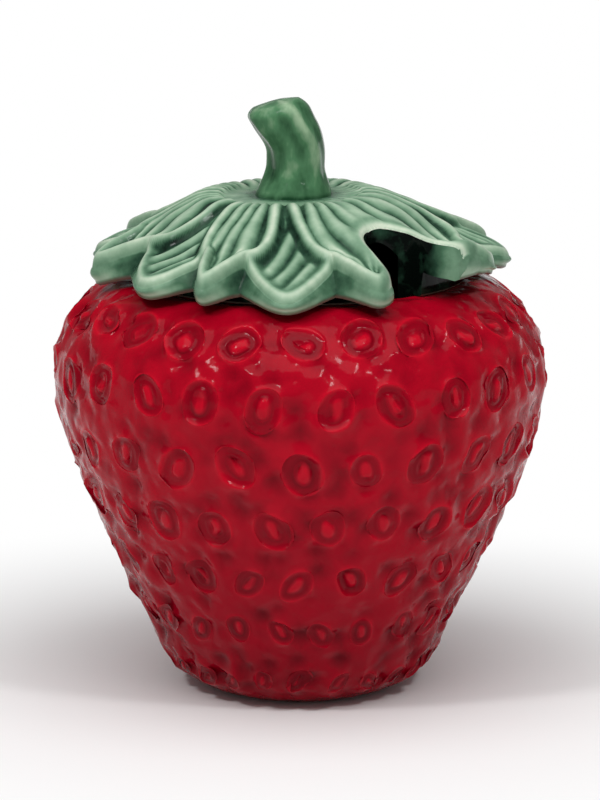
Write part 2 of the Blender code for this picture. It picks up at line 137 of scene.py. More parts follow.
def spinProfile(points, steps, tags):  # each point's tag stays on the ring that it sweeps
    bm = bmesh.new()
    ring = bm.verts.layers.int.new("ring")
    verts = [bm.verts.new((radius, 0.0, height)) for radius, height in points]
    for vert, tag in zip(verts, tags):
        vert[ring] = tag
    edges = [bm.edges.new(pair) for pair in zip(verts, verts[1:])]
    bmesh.ops.spin(
        bm,
        geom=verts + edges,
        axis=(0, 0, 1),
        cent=(0, 0, 0),
        angle=2 * math.pi,
        steps=steps,
        use_merge=True,
    )
    bmesh.ops.remove_doubles(bm, verts=bm.verts, dist=0.01 * mm)
    return bm


# pot: a turned skin cut into a honeycomb, with a seed raised in a pit in every cell

pot = {
    "foot": (36 * mm, 0.0),
    "footRing": 8 * mm,
    "footRecess": 2 * mm,
    "heel": (58 * mm, 13.5 * mm),
    "belly": (104.6 * mm, 139 * mm),
    "rim": (75 * mm, 176.5 * mm),
    "mouth": 64 * mm,
    "wall": 7.5 * mm,
    "angles": (9, 66, 90, 169),  # directions of the outline at foot, heel, belly and rim
    "fullness": ((0.36, 0.23), (0.37, 0.27), (0.34, 0.33)),
    "rows": 7,
    "perRow": 24,
    "phase": -5.5,
    "footMargin": 12.5 * mm,
    "rimMargin": 7.5 * mm,
    "stray": 2.2 * mm,
    "sizeStray": 0.1,
    "slant": 0.26,  # how far the seeds lean
    "lipRoom": 0.9,  # widest share of a cell that a pit with its lip may take
    # width, length, lift and glaze of the ovals in a cell, from the lip in to the seed
    "ovals": (
        (21.5 * mm, 22.5 * mm, 0.1 * mm, 0.3),
        (19.2 * mm, 20.2 * mm, 1.1 * mm, 0.0),
        (15.4 * mm, 17.4 * mm, -1.2 * mm, 0.7),
        (9.2 * mm, 12.4 * mm, -1.9 * mm, 0.9),
        (6.2 * mm, 9.8 * mm, 0.4 * mm, 0.05),
    ),
    "lipStray": 1.3 * mm,  # lips swell unevenly
    "plainTone": 0.35,  # glaze between the pits, and up to which tone an oval counts as lip
    "lipTone": 0.3,
    "faint": 0.5,  # how much fainter the faintest pits are
    "lowFaint": 0.3,  # and those near the foot, where the glaze fills them
    "flesh": 0.5 * mm,
    "swelling": (17 * mm, 0.7 * mm),  # size and height of the flesh's soft lumps
    "lumps": (7 * mm, 1.0 * mm),  # and of the small ones on them
    "dimple": (11 * mm, 2.2 * mm),  # size and depth of the small hollows between the pits
    "paintedShadeLow": (0.3, 105 * mm, 90 * mm),  # painted shade, darker towards the foot where less light falls: added depth, start and span of height
}


def potOutline():  # outer skin from foot to rim, measured along its length
    keys = [Vector(pot[name]) for name in ("foot", "heel", "belly", "rim")]
    ways = [Vector((math.cos(math.radians(a)), math.sin(math.radians(a)))) for a in pot["angles"]]
    points = [keys[0]]
    for i, (leave, arrive) in enumerate(pot["fullness"]):
        chord = (keys[i + 1] - keys[i]).length
        handles = keys[i] + ways[i] * chord * leave, keys[i + 1] - ways[i + 1] * chord * arrive
        points += interpolate_bezier(keys[i], handles[0], handles[1], keys[i + 1], 60)[1:]
    line = np.array([p[:2] for p in points])
    steps = np.hypot(*np.diff(line, axis=0).T)
    arcs = np.concatenate([[0.0], np.cumsum(steps)])
    along = np.gradient(line, arcs, axis=0)
    normals = np.stack([along[:, 1], -along[:, 0]], axis=1)
    return arcs, line, normals / np.linalg.norm(normals, axis=1)[:, None]


skinArcs, skinLine, skinNormals = potOutline()


def skinAt(arc, lift=0.0):
    radius = np.interp(arc, skinArcs, skinLine[:, 0]) + lift * np.interp(arc, skinArcs, skinNormals[:, 0])
    height = np.interp(arc, skinArcs, skinLine[:, 1]) + lift * np.interp(arc, skinArcs, skinNormals[:, 1])
    return radius, height


def skinAtHeight(height):
    return np.interp(height, skinLine[:, 1], skinLine[:, 0])


def onSkin(angle, arc, lift):
    radius, height = skinAt(arc, lift)
    return Vector((radius * math.cos(angle), radius * math.sin(angle), height))


def makePot():
    total = skinArcs[-1]
    pitch = (total - pot["footMargin"] - pot["rimMargin"]) / pot["rows"]
    lines = [pot["footMargin"] + pitch * i for i in range(pot["rows"] + 1)]
    rimRadius, rimHeight = pot["rim"]
    footInner = pot["foot"][0] - pot["footRing"]
    floorTop = pot["footRecess"] + pot["wall"]

    profile = [(0.0, pot["footRecess"]), (footInner - 3 * mm, pot["footRecess"])]
    profile += [(footInner - 0.6 * mm, 0.6 * mm), (footInner + 0.6 * mm, 0.0)]
    profile += [(pot["foot"][0] - 1.5 * mm, 0.0), skinAt(1.2 * mm)]
    tags = [0] * len(profile)
    for i, arc in enumerate(lines):
        profile.append(skinAt(arc))
        tags.append(i + 1)
    profile += [(rimRadius + 1.5 * mm, rimHeight - 0.3 * mm), (rimRadius - 1 * mm, rimHeight)]
    profile += [(pot["mouth"] + 2 * mm, rimHeight), (pot["mouth"] + 0.4 * mm, rimHeight - 0.4 * mm)]
    profile += [(pot["mouth"], rimHeight - 2 * mm), (pot["mouth"] + 0.2 * mm, rimHeight - pot["wall"])]
    for arc in np.linspace(total - pot["wall"], 0.1 * total, 5):
        radius, height = skinAt(arc, -pot["wall"])
        profile.append((radius, max(height, floorTop)))
    profile += [(0.4 * pot["foot"][0], floorTop), (0.0, floorTop)]
    tags += [0] * (len(profile) - len(tags))

    columns = 2 * pot["perRow"]
    step = 2 * math.pi / columns
    phase = math.radians(pot["phase"])
    bm = spinProfile(profile, columns, tags)
    ring = bm.verts.layers.int["ring"]
    glaze = bm.verts.layers.float.new("glaze")

    def columnOf(vert):
        return round(math.atan2(vert.co.y, vert.co.x) / step) % columns

    uprights = []
    for edge in bm.edges:  # every other upright goes, staggered, which leaves bricks
        low, high = sorted(vert[ring] for vert in edge.verts)
        if low > 0 and high == low + 1 and (columnOf(edge.verts[0]) + low) % 2:
            uprights.append(edge)
    bmesh.ops.dissolve_edges(bm, edges=uprights)
    cells = [face for face in bm.faces if len(face.verts) == 6 and all(vert[ring] for vert in face.verts)]
    places = {}
    for face in cells:
        middle = face.calc_center_median()
        places[face] = min(vert[ring] for vert in face.verts) - 1, math.atan2(middle.y, middle.x)

    for vert in bm.verts:  # the courses bend into a zigzag
        vert[glaze] = pot["plainTone"]
        line = vert[ring] - 1
        if line < 0:
            continue
        column = columnOf(vert)
        ends = line in (0, pot["rows"])
        side = 1 if (column + line) % 2 else -1
        arc = lines[line] + side * pitch / (12 if ends else 6)
        lift = 0.0 if ends else pot["flesh"] * (1.0 + hashOf(line, column, 1))
        vert.co = onSkin(column * step + phase, arc, lift)

    lipTone = pot["lipTone"]
    for width, length, lift, tone in pot["ovals"]:
        bmesh.ops.inset_individual(bm, faces=cells, thickness=0.3 * mm)
        for face in cells:
            row, angle = places[face]
            column = round(angle / step)
            arc = lines[row] + pitch / 2 + pot["stray"] * hashOf(row, column, 2)
            radius = skinAt(arc)[0]
            turn = angle + phase + pot["stray"] * hashOf(row, column, 3) / radius
            room = min(1.0, pot["lipRoom"] * 2 * math.pi * radius / pot["perRow"] / pot["ovals"][0][0])
            size = room * (1.0 + pot["sizeStray"] * hashOf(row, column, 4))
            slant = pot["slant"] * hashOf(row, column, 5)
            crisp = 1.0 - pot["faint"] * (0.5 - 0.5 * hashOf(row, column, 7))
            crisp -= pot["lowFaint"] * (1.0 - row / pot["rows"])
            for i, vert in enumerate(face.verts):
                side = wrapAngle(math.atan2(vert.co.y, vert.co.x) - turn) * radius
                corner = math.atan2(vert.co.z - skinAt(arc)[1], side)
                across = 0.5 * width * size * math.cos(corner)
                along = 0.5 * length * size * math.sin(corner)
                rise = lift * size * (0.4 + 0.6 * crisp if lift < 0 else 1.0)
                if tone <= lipTone and width > 14 * mm:  # the two outer ovals
                    rise += pot["lipStray"] * hashOf(row * 7 + i, column, 6)
                vert.co = onSkin(turn + (across + slant * along) / radius, arc + along, rise)
                vert[glaze] = tone if tone <= lipTone else lipTone + (tone - lipTone) * crisp
    bmesh.ops.recalc_face_normals(bm, faces=bm.faces)
    obj = newObject("potGlazed", bm)
    smooth = obj.modifiers.new("rounding", "SUBSURF")
    smooth.levels = smooth.render_levels = 2
    applyModifiers(obj)

    mesh = obj.data
    coords = getCoords(mesh)
    normals = getNormals(mesh)
    glazeNow = getLayer(mesh, "glaze")
    radii = np.hypot(coords[:, 0], coords[:, 1])
    height = coords[:, 2]
    onFlank = ease((rimHeight - 2 * mm - height) / (8 * mm)) * ease((height - 3 * mm) / (10 * mm))
    inside = ease((skinAtHeight(height) - 3.8 * mm - radii) / mm)
    flesh = (1.0 - ease((glazeNow - lipTone) / 0.4)) * onFlank * (1.0 - inside)
    swell = fieldNoise(coords, pot["swelling"][0], 1) * pot["swelling"][1]
    swell += (fieldNoise(coords, pot["lumps"][0], 3) - 0.55) * pot["lumps"][1]
    hollow = fieldCells(coords, pot["dimple"][0]) * pot["dimple"][1]
    coords += normals * ((swell - hollow) * flesh)[:, None]
    setCoords(mesh, coords)
    # painted shade: the red deepens towards the foot
    amount, start, span = pot["paintedShadeLow"]
    paintedShadeLow = amount * ease((start - coords[:, 2]) / span)
    # the flesh is darker in its small hollows: partly glaze pooled in them, partly painted shade
    tone = glazeNow + paintedShadeLow - 0.12 * flesh + 0.55 * hollow / pot["dimple"][1] * flesh
    setLayer(mesh, "glaze", np.clip(tone, 0, 1))
    mesh.shade_smooth()
    print("pot", len(mesh.polygons), "faces")
    return obj


# lid: a domed cover of two layers of ribbed leaves, with a notch for the ladle

lid = {
    "seat": 176.5 * mm,
    "rise": 35 * mm,
    "crown": 28 * mm,
    "shelf": (17 * mm, 1.3 * mm),  # the crown sinks by this much from here to the ribs' heads
    "crownShift": 2.5 * mm,  # the crown lies off the pot's axis, and the leaves' ribs a little more
    "ribShift": 4.5 * mm,
    "shiftHeading": 144.5,
    "tip": 88.7 * mm,
    "cleft": 70 * mm,
    "skirt": 77 * mm,
    "tipTop": 9.2 * mm,
    "domePower": 1.4,
    "dip": (63 * mm, 15 * mm, 3.0 * mm),  # the leaves sag between crown and tip
    "leaves": 8,
    "phase": -16.8,
    "drift": (7, 140.5),
    "strays": ((-172, -6.8), (-62, 7.2)),
    "straySpan": 31,
    "narrowing": (1.2, 7.0, 4.8),  # degrees an upper leaf loses on each side: at once, evenly, at the cleft
    "step": 2.4 * mm,
    "rib": 1.9 * mm,
    "crest": (2.8 * mm, 2.9 * mm, 0.9 * mm),  # inset, width and extra height of the border ribs
    "heads": (34 * mm, 7 * mm, 1.3 * mm),  # the ribs' heads stand up in a ring
    "dish": (-58, 15, 3.5 * mm),  # the raised leaf is hollow in the middle
    # heading, span and drop of tips that hang lower or higher
    "hangs": (
        (-202, 24, 3.0 * mm),
        (-152, 14, -1.6 * mm),
        (-108, 14, -1.6 * mm),
        (-6, 18, 3.5 * mm),
    ),
    "flame": (6.8 * mm, 2.0 * mm, 0.45),  # spacing, height and slant of the lower leaves' ribs
    "cup": 3.0 * mm,
    "edgeRound": 3.2 * mm,
    "tipClear": 7.4 * mm,
    "cleftClear": 5.7 * mm,
    "droop": (1.2 * mm, 1.1 * mm, -125.5),  # once and twice round, and its heading
    "turnedUp": (13 * mm, 58 * mm, 1.3, 8, 47),  # lift, start, curve and spans of the leaf beside the notch
    "hemLift": 6.5 * mm,
    "broadLeaf": (36, 8, 0.9),  # span beside the notch, fade and reach
    "notchWidth": 23 * mm,
    "notchInner": 53 * mm,
    "notchRound": (3.6 * mm, 1.6 * mm),  # width and drop of its lip
    # start, spread, end, fullness and heading of the curve on either side of the notch
    "flares": (
        (77 * mm, 9 * mm, 93 * mm, 6 * mm, 9 * mm, 39),
        (71 * mm, 22.5 * mm, 86 * mm, 8 * mm, 14 * mm, -5),
    ),
    "collar": 63.3 * mm,
    "collarWall": 5.5 * mm,
    "collarDepth": 8.5 * mm,
    "seatRadius": 70.5 * mm,
    "wall": 5 * mm,
    "columns": 720,
    "crownRings": 7,
    "topRings": 84,
    "wallRings": 10,
}
halfLeaf = math.pi / lid["leaves"]


def leafOffset(angle):  # angle from the middle of the nearest upper leaf, and that leaf's number
    drift, heading = (math.radians(a) for a in lid["drift"])
    place = angle + drift * np.cos(angle - heading)
    for target, stray in lid["strays"]:
        away = np.abs(wrapAngle(angle - math.radians(target)))
        place = place + math.radians(stray) * ease(1.0 - away / math.radians(lid["straySpan"]))
    drifted = place - math.radians(lid["phase"])
    index = np.round(drifted / (2 * halfLeaf))
    return drifted - index * 2 * halfLeaf, index


def broadLeaf(angle):  # 1 on the broad leaf to one side of the notch
    span, fade = (math.radians(a) for a in lid["broadLeaf"][:2])
    gap = wrapAngle(angle + math.pi / 2)
    return ease((span - gap) / fade) * ease(gap / math.radians(8) + 0.5)


lobeShares = np.linspace(0.0, 1.0, 200)
lobeCurve = 0.25 + 0.25 * np.cos(np.pi * lobeShares) + 0.5 * (1.0 - lobeShares**2)  # from tip to cleft


def upperHalf(angle, radius):  # half the angle that an upper leaf covers at a radius
    share = np.clip((radius - lid["crown"]) / (lid["cleft"] - lid["crown"]), 0.0, 1.0)
    first, even, late = (math.radians(a) for a in lid["narrowing"])
    lost = first * ease(share / 0.1) + even * share**1.9 + late * share**14
    past = np.clip((radius - lid["cleft"]) / (lid["tip"] - lid["cleft"]), 0.0, 0.99)
    narrowed = (halfLeaf - lost) * np.interp(past, lobeCurve[::-1], lobeShares[::-1])
    return halfLeaf + (narrowed - halfLeaf) * (1.0 - broadLeaf(angle))


def lobeReach(angle):  # 0 in a cleft, 1 at a leaf's tip
    offset = np.abs(leafOffset(angle)[0])
    upper = upperHalf(angle, lid["cleft"])
    beyond = (halfLeaf - offset) / np.maximum(halfLeaf - upper, 0.001)
    share = np.clip(np.where(offset < upper, offset / upper, beyond), 0.0, 1.0)
    reach = np.interp(share, lobeShares, lobeCurve)
    return np.maximum(reach, lid["broadLeaf"][2] * broadLeaf(angle))


def turnedUp(angle, radius):  # the leaf beside the notch turns up
    lift, start, curve, full, span = lid["turnedUp"]
    gap = wrapAngle(angle + math.pi / 2)
    out = np.clip((radius - start) / (lid["tip"] - start), 0.0, None)
    near = ease((math.radians(span) - gap) / math.radians(span - full))
    return np.where(gap > 0, lift * near * out**curve, 0.0)


def droop(angle, radius):  # the leaves hang lower in front and behind
    once, twice, heading = lid["droop"]
    side = angle - math.radians(heading)
    drop = once * np.cos(side) + twice * np.cos(2 * side)
    for at, span, depth in lid["hangs"]:
        drop = drop + depth * ease(1.0 - np.abs(wrapAngle(angle - math.radians(at))) / math.radians(span))
    return drop * (radius / lid["tip"]) ** 2


def shiftAt(radius, amount):  # how far a ring lies off the axis
    return amount * (1.0 - ease((radius - lid["crown"]) / (lid["cleft"] - lid["crown"])))


def shiftedPlace(x, y, amount):  # a place as seen from the shifted middle
    shift = shiftAt(np.hypot(x, y), amount)
    heading = math.radians(lid["shiftHeading"])
    return x - shift * math.cos(heading), y - shift * math.sin(heading)


def domeAt(radius):
    share = np.clip((radius - lid["crown"]) / (lid["tip"] - lid["crown"]), 0.0, None)
    return lid["rise"] - (lid["rise"] - lid["tipTop"]) * share ** lid["domePower"]


def notchOutline():
    half = lid["notchWidth"] / 2
    sides = []
    for start, spread, end, easeOut, easeIn, angle in lid["flares"]:
        turn = math.radians(angle)
        first, last = Vector((half, -start)), Vector((half + spread, -end))
        handles = first - Vector((0.0, easeOut)), last - easeIn * Vector((math.cos(turn), -math.sin(turn)))
        curve = np.array([p[:2] for p in interpolate_bezier(first, *handles, last, 40)])
        straight = np.stack([np.full(40, half), np.linspace(-lid["notchInner"] - half, -start, 40)], axis=1)
        sides.append(np.concatenate([straight[:-1], curve, [(half + spread, -0.12)]]))
    turns = np.linspace(math.pi, 0.0, 60)[1:-1]
    inner = np.stack([half * np.cos(turns), half * np.sin(turns) - lid["notchInner"] - half], axis=1)
    return np.concatenate([sides[0][::-1] * (-1, 1), inner, sides[1]])


notchLine = notchOutline()


def notchGap(x, y):  # distance outside the notch's outline, negative inside it
    gap = np.full(len(x), 1.0)
    (ax, ay), (bx, by) = notchLine.T, np.roll(notchLine, -1, axis=0).T
    dx, dy = bx - ax, by - ay
    long = np.maximum(dx * dx + dy * dy, 1e-12)
    rise = np.where(np.abs(dy) < 1e-9, 1.0, dy)
    near = np.flatnonzero((y < -40 * mm) & (np.abs(x) < 45 * mm))
    for part in np.array_split(near, len(near) // 400 + 1):
        px, py = x[part, None], y[part, None]
        share = np.clip(((px - ax) * dx + (py - ay) * dy) / long, 0.0, 1.0)
        away = np.hypot(px - ax - share * dx, py - ay - share * dy).min(axis=1)
        crossing = (ay > py) != (by > py)
        inside = (crossing & (px < ax + dx * (py - ay) / rise)).sum(axis=1) % 2
        gap[part] = np.where(inside, -away, away)
    return gap


def rollOff(gap, radius):  # drop of a rounded edge at a distance from it
    inside = np.clip(radius - gap, 0.0, radius)
    return radius - np.sqrt(np.maximum(radius * radius - inside * inside, 0.0))


def edgeLine(angle):
    return lid["cleft"] + (lid["tip"] - lid["cleft"]) * lobeReach(angle)


def pointFinder(angles, radii):
    tree = kdtree.KDTree(len(angles))
    for i, (a, r) in enumerate(zip(angles, radii)):
        tree.insert((r * math.cos(a), r * math.sin(a), 0.0), i)
    tree.balance()
    return lambda x, y: np.array([tree.find((a, b, 0.0))[2] for a, b in zip(x, y)])


def leafBorders():  # outlines of the upper leaves, from the crown to the tips
    angles = np.linspace(-math.pi, math.pi, 3600, endpoint=False)
    offset = np.abs(leafOffset(angles)[0])
    allAngles, allRadii = [], []
    for radius in np.arange(lid["crown"], lid["cleft"], 0.4 * mm):
        inside = offset < upperHalf(angles, radius)
        flips = angles[inside != np.roll(inside, 1)]
        allAngles += list(flips)
        allRadii += [radius] * len(flips)
    tips = offset < upperHalf(angles, lid["cleft"])
    return allAngles + list(angles[tips]), allRadii + list(edgeLine(angles[tips]))


rimAngles = np.linspace(-math.pi, math.pi, 4000, endpoint=False)
edgeGap = pointFinder(rimAngles, edgeLine(rimAngles))
borderGap = pointFinder(*leafBorders())


def leafRelief(x, y):  # height of ribs, layers and beads over the dome, and how deep the glaze lies on them, with a painted highlight along the notch's lip
    px, py = shiftedPlace(x, y, lid["ribShift"])
    reach = np.hypot(px, py)
    angle = np.arctan2(py, px)
    offset, index = leafOffset(angle)
    half = upperHalf(angle, reach)
    across = np.clip(offset / half, -1.0, 1.0)
    border = borderGap(px, py) * np.where(np.abs(offset) < half, 1.0, -1.0)
    edge = edgeGap(x, y)
    gap = notchGap(x, y)
    lip = ease((gap - 1 * mm) / (6 * mm))
    out = ease((reach - lid["crown"] - 1 * mm) / (14 * mm))
    heads = ease((reach - lid["crown"] + 0.8 * mm) / (2.4 * mm))
    ringAt, ringWidth, ringRise = lid["heads"]
    ring = ringRise * np.exp(-(((reach - ringAt) / ringWidth) ** 2)) * heads
    tipward = ease((reach - 52 * mm) / (22 * mm))

    # upper leaf: border ribs that run on as the tip's bead, three ribs between, a hollow towards the tip
    inset, width, extra = lid["crest"]
    margin = 5.6 * mm * (1.0 - broadLeaf(angle))
    inner = across / np.maximum(1.0 - margin / np.maximum(half * reach, 7 * mm), 0.15)
    wander = 0.18 * np.sin(reach / (8 * mm) + 2.1 * index + 2.0 * across) * (1.0 - across**2)
    place = np.clip(inner + wander, -1.0, 1.0)
    between = ease((border - 4.6 * mm) / (1.6 * mm)) * lip
    rib = np.abs(np.sin(1.5 * np.pi * (place + 1.0))) ** 0.6 * between
    fine = (0.5 - 0.5 * np.cos(3 * np.pi * (place + 1.0))) ** 1.5
    fine *= ease((reach - 56 * mm) / (10 * mm)) * between * ease((edge - 3 * mm) / (4 * mm))
    inset = inset - 1.3 * mm * ease((8 * mm - edge) / (6 * mm))  # the bead lies closer to the edge
    crest = np.sqrt(np.clip(1.0 - ((border - inset) / width) ** 2, 0.0, 1.0)) * lip
    cup = tipward * ease((border - 3 * mm) / (5 * mm)) * lip
    upper = lid["step"] * out + lid["rib"] * heads * rib * (1.0 - 0.45 * tipward) + 1.0 * mm * fine
    upper += (lid["rib"] + extra * tipward) * heads * crest - lid["cup"] * cup

    # lower leaf: slanted flames inside a bead
    spacing, height, slant = lid["flame"]
    side = (offset - np.sign(offset) * halfLeaf) * reach + slant * (reach - 52 * mm) - 1.5 * mm
    flames = (0.5 + 0.5 * np.cos(2 * np.pi * side / spacing)) ** 0.8
    flames *= ease((-border - 0.9 * mm) / (1.8 * mm)) * ease((edge - 3.5 * mm) / (4 * mm)) * lip
    bead = np.exp(-(((edge - inset) / (0.8 * width)) ** 2)) * lip
    lower = height * flames + 1.3 * mm * bead - 0.5 * mm * out
    lower += 1.0 * mm * heads * ease((62 * mm - reach) / (20 * mm))
    lower -= 1.5 * mm * tipward * ease((edge - 3 * mm) / (5 * mm)) * lip

    onUpper = ease(border / (1.8 * mm) + 0.5)
    relief = ring + lower + (upper - lower) * onUpper
    relief += 0.8 * mm * np.exp(-(((gap - 2.2 * mm) / (1.8 * mm)) ** 2))  # a soft roll round the notch
    relief -= rollOff(edge, lid["edgeRound"])
    lipWidth, lipDrop = lid["notchRound"]
    relief -= lipDrop * np.clip(1.0 - gap / lipWidth, 0.0, 1.7) ** 2

    upperGlaze = 0.88 - 0.48 * np.maximum(rib * (1.0 - 0.75 * cup), crest) - 0.26 * crest**6 - 0.4 * fine
    upperGlaze -= 0.14 * rib**4 * (1.0 - cup)
    lowerGlaze = 0.86 - 0.54 * flames - 0.5 * bead - 0.2 * bead**5
    glaze = lowerGlaze + (upperGlaze - lowerGlaze) * onUpper
    glaze += 0.15 * np.exp(-((border / (1.2 * mm)) ** 2)) * out  # dark in the step between the layers
    glaze = 0.45 + (glaze - 0.45) * heads  # even on the crown
    plain = 1.0 - ease((gap - 1 * mm) / (7 * mm))
    # painted highlight: a thin paler line along the notch's rounded lip
    glaze += (0.42 - glaze) * plain - 0.35 * np.exp(-(((gap - 1.0 * mm) / (1.2 * mm)) ** 2))
    return relief, np.clip(glaze, 0.0, 0.88)


def topHeight(x, y):
    angle = np.arctan2(y, x)
    radius = np.hypot(x, y)
    centred = np.hypot(*shiftedPlace(x, y, lid["crownShift"]))
    gap = notchGap(x, y)
    start, sink = lid["shelf"]
    middle, span, depth = lid["dip"]
    sag = depth * np.exp(-(((centred - middle) / span) ** 2)) * ease(gap / (15 * mm))
    sag += sink * ease((centred - start) / (lid["crown"] - start)) * ease((middle - centred) / (20 * mm))
    at, spread, hollow = lid["dish"]
    away = wrapAngle(angle - math.radians(at)) / math.radians(spread)
    sag += hollow * np.exp(-(away**2)) * ease((radius - 42 * mm) / (18 * mm)) * ease(gap / (12 * mm))
    relief, glaze = leafRelief(x, y)
    return domeAt(centred) - sag + turnedUp(angle, radius) - droop(angle, radius) + relief, glaze


def hemOf(angle):  # foot of the skirt: radius and height over the rim
    reach = lobeReach(angle)
    radius = lid["skirt"] + (lid["tip"] - 1.1 * mm - lid["skirt"]) * reach
    above = skinLine[skinLine[:, 1] >= pot["belly"][1]]
    shoulder = np.interp(-radius, -above[:, 0], above[:, 1])
    clear = lid["cleftClear"] + (lid["tipClear"] - lid["cleftClear"]) * reach
    raised = np.minimum(turnedUp(angle, radius), lid["hemLift"])
    return radius, shoulder - lid["seat"] + clear + raised - droop(angle, radius)


def makeLid():
    crownRings = lid["crownRings"]
    topRings = lid["topRings"]
    wallRings = lid["wallRings"]
    columns = lid["columns"]
    inner = lid["collar"] - lid["collarWall"]
    # rings under the lid, from the skirt in: seat on the rim, collar in the mouth, hollow crown
    under = [(lid["seatRadius"] + 1.2 * mm, 6.6 * mm), (lid["seatRadius"] + 0.2 * mm, 5.0 * mm)]
    under += [(lid["seatRadius"], 1.2 * mm), (lid["seatRadius"] - 0.8 * mm, 0.3 * mm)]
    under += [(lid["collar"] + 0.6 * mm, 0.3 * mm), (lid["collar"], -0.4 * mm)]
    under += [(lid["collar"], -lid["collarDepth"] + 1 * mm), (lid["collar"] - 1 * mm, -lid["collarDepth"])]
    under += [(inner + 1 * mm, -lid["collarDepth"]), (inner, -lid["collarDepth"] + 1 * mm)]
    under += [(inner, float(domeAt(inner)) - 2 * lid["wall"])]
    for share in (0.9, 0.8, 0.7, 0.55, 0.4, 0.2):
        under.append((inner * share, float(domeAt(inner * share)) - lid["wall"]))

    count = crownRings + topRings + wallRings + 3
    profile = [(0.0, lid["rise"])]
    profile += [((i + 10) * mm, 0.0) for i in range(count)]
    profile += [(200 * mm - i * mm, -50 * mm) for i in range(len(under))] + [(0.0, -60 * mm)]
    obj = newObject("lidGlazed", spinProfile(profile, columns, range(len(profile))))

    mesh = obj.data
    coords = getCoords(mesh)
    rings = getLayer(mesh, "ring", np.int32)
    angle = np.arctan2(coords[:, 1], coords[:, 0])
    edge = edgeLine(angle)
    lobe = lobeReach(angle)
    hemRadius, hemHeight = hemOf(angle)
    radius = np.zeros(len(coords))
    height = np.full(len(coords), lid["rise"])
    # painted shade: the underside and the hem start at 1, the ramp's near-black end
    glaze = np.ones(len(coords))
    clay = np.zeros(len(coords))
    lastTop = crownRings + topRings

    crown = (rings > 0) & (rings <= crownRings)
    radius[crown] = lid["crown"] * (rings[crown] / crownRings) ** 0.8
    leaves = (rings > crownRings) & (rings <= lastTop)
    share = 1.0 - (1.0 - (rings[leaves] - crownRings) / topRings) ** 1.25  # closer rings towards the edge
    radius[leaves] = lid["crown"] + (edge[leaves] - lid["crown"]) * share
    drop = (rings > lastTop) & (rings <= lastTop + wallRings)
    share = (rings[drop] - lastTop) / wallRings
    radius[drop] = edge[drop] + (hemRadius[drop] - edge[drop]) * share**1.5
    radius[drop] += 1.2 * mm * np.sin(math.pi * share)
    for i, (inset, lift) in enumerate(((0.5, 0.5), (1.8, 0.0), (4.0, 0.9))):
        hem = rings == lastTop + wallRings + 1 + i
        radius[hem] = hemRadius[hem] - inset * mm
        height[hem] = hemHeight[hem] + lift * mm
        clay[hem] = 0.35
    for i, (r, h) in enumerate(under):
        ring = rings == count + 1 + i
        radius[ring] = r
        height[ring] = h
        clay[ring] = 1.0 if i in (3, 4) else 0.0
        if i == 0:
            height[ring] += turnedUp(angle[ring], r) - droop(angle[ring], r)
    height[rings == len(profile) - 1] = lid["rise"] - lid["wall"]

    shift = np.where(rings <= lastTop, shiftAt(radius, lid["crownShift"]), 0.0) * (rings > 0)
    heading = math.radians(lid["shiftHeading"])
    x = radius * np.cos(angle) + shift * math.cos(heading)
    y = radius * np.sin(angle) + shift * math.sin(heading)
    top = crown | leaves
    height[top], glaze[top] = topHeight(x[top], y[top])
    fromStem = np.hypot(x - stem["offset"] * math.cos(heading), y - stem["offset"] * math.sin(heading))
    glaze += np.where(top, 0.4 * ease(1.0 - (fromStem - 15 * mm) / (8 * mm)), 0.0)  # pooled round the stem

    column = np.round(angle / (2 * math.pi) * columns).astype(int) % columns
    grid = np.empty((lastTop, columns), dtype=int)  # the top as rings by columns, smoothed against stepping
    grid[rings[top] - 1, column[top]] = np.flatnonzero(top)
    sheet = height[grid]
    for _ in range(3):
        sheet = 0.5 * sheet + 0.25 * (np.roll(sheet, 1, axis=1) + np.roll(sheet, -1, axis=1))
        sheet[1:-1] = 0.5 * sheet[1:-1] + 0.25 * (sheet[2:] + sheet[:-2])
    height[grid] = sheet

    brink = height[grid[-1, column[drop]]]
    height[drop] = brink + (hemHeight[drop] + 2.0 * mm - brink) * share
    pale = ease((share - 0.45) / 0.5) * lobe[drop]
    # painted shade: the skirt's wall is darker in the clefts between the lobes, and pales towards the tips'
    # lower edge
    glaze[drop] = 0.58 + 0.28 * (1.0 - lobe[drop]) ** 1.5 - 0.34 * pale
    places = np.stack([x, y, height + lid["seat"]], axis=1)
    uneven = fieldNoise(places[top], 11 * mm, 2) * 0.5 * mm
    places[top, 2] += uneven * ease((fromStem[top] - 20 * mm) / (10 * mm))
    setCoords(mesh, places)
    setLayer(mesh, "glaze", np.clip(glaze, 0, 1))
    setLayer(mesh, "clay", clay)

    bm = bmesh.new()
    bm.from_mesh(mesh)
    bmesh.ops.recalc_face_normals(bm, faces=bm.faces)
    bm.to_mesh(mesh)
    bm.free()
    cutNotch(obj)
    obj.data.shade_smooth()
    obj.data.set_sharp_from_angle(angle=math.radians(50))
    print("lid", len(obj.data.polygons), "faces")
    return obj


